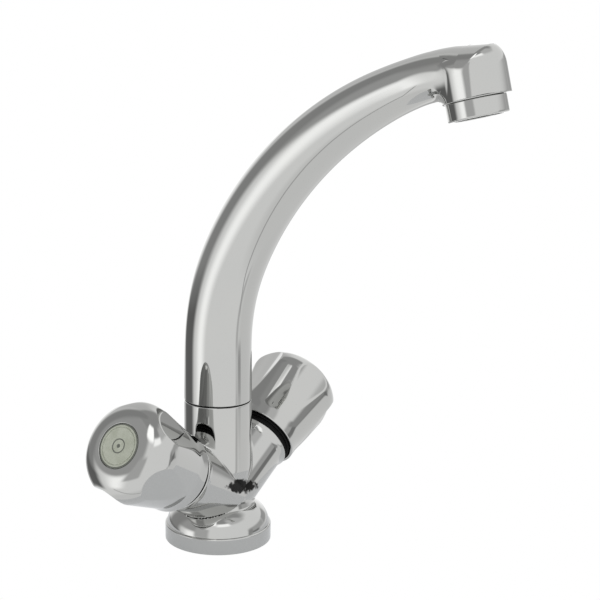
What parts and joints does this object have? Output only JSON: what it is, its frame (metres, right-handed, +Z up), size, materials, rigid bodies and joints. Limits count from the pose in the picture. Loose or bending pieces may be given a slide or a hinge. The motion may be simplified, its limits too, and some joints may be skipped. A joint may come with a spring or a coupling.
{
  "type": "swivel spout basin mixer",
  "caption": "Basin mixer with a tall curved swivel spout on a column, fluted knobs on arms that rise in a V, and a round base flange.",
  "frame": {"origin": "centre of the flange's flat underside, level with the basin's top", "axes": "+Z up along the column, the spout points along -Y towards the user, hot knob at -X and cold knob at +X"},
  "size_m": [0.1642, 0.1711, 0.242],
  "materials": {
    "chrome": "polished chrome plate over cast brass",
    "brass": "turned bare brass",
    "steel": "plain stainless steel",
    "seal_rubber": "black moulded rubber",
    "black_plastic": "black moulded plastic",
    "white_plastic": "pale moulded plastic",
    "disc_plastic": "pale greenish grey glossy plastic"
  },
  "bodies": {
    "body": {"body_casting": "chrome", "base_seal": "seal_rubber", "spout_retaining_screw": "steel", "spout_thrust_ring": "black_plastic", "hot_headwork_body": "brass", "hot_headwork_seal": "seal_rubber", "hot_skirt_ring": "black_plastic", "cold_headwork_body": "brass", "cold_headwork_seal": "seal_rubber", "cold_skirt_ring": "black_plastic"},
    "spout": {"spout_casting": "chrome", "spout_seal_rings": "seal_rubber", "aerator_housing": "chrome", "aerator_insert": "white_plastic", "aerator_screen": "steel", "aerator_washer": "seal_rubber"},
    "hot_valve": {"hot_valve_carrier": "brass", "hot_valve_washer": "seal_rubber", "hot_valve_screw": "brass"},
    "hot_knob_assembly": {"hot_spindle": "brass", "hot_spindle_seal_rings": "seal_rubber", "hot_spindle_clip": "steel", "hot_spline_insert": "white_plastic", "hot_knob": "chrome", "hot_knob_screw": "steel", "hot_index_disc": "disc_plastic"},
    "cold_valve": {"cold_valve_carrier": "brass", "cold_valve_washer": "seal_rubber", "cold_valve_screw": "brass"},
    "cold_knob_assembly": {"cold_spindle": "brass", "cold_spindle_seal_rings": "seal_rubber", "cold_spindle_clip": "steel", "cold_spline_insert": "white_plastic", "cold_knob": "chrome", "cold_knob_screw": "steel", "cold_index_disc": "disc_plastic"}
  },
  "joints": [
    {"name": "spout_swivel", "type": "hinge", "parent": "body", "child": "spout", "pos_m": [0, 0, 0.0713], "axis": [0, 0, 1], "continuous": true},
    {"name": "hot_knob_turn", "type": "hinge", "parent": "body", "child": "hot_knob_assembly", "pos_m": [0, 0, 0.0224], "axis": [-0.8616, 0, 0.5075], "range_deg": [0, 720]},
    {"name": "hot_valve_slide", "type": "slide", "parent": "body", "child": "hot_valve", "axis": [-0.8616, 0, 0.5075], "range_m": [0, 0.00362]},
    {"name": "cold_knob_turn", "type": "hinge", "parent": "body", "child": "cold_knob_assembly", "pos_m": [0, 0, 0.0224], "axis": [0.8616, 0, 0.5075], "range_deg": [0, 720]},
    {"name": "cold_valve_slide", "type": "slide", "parent": "body", "child": "cold_valve", "axis": [0.8616, 0, 0.5075], "range_m": [0, 0.00362]}
  ],
  "couplings": [
    {"joint": "hot_valve_slide", "follows": "hot_knob_turn", "m_per_rad": 0.00028648},
    {"joint": "cold_valve_slide", "follows": "cold_knob_turn", "m_per_rad": 0.00028648}
  ]
}
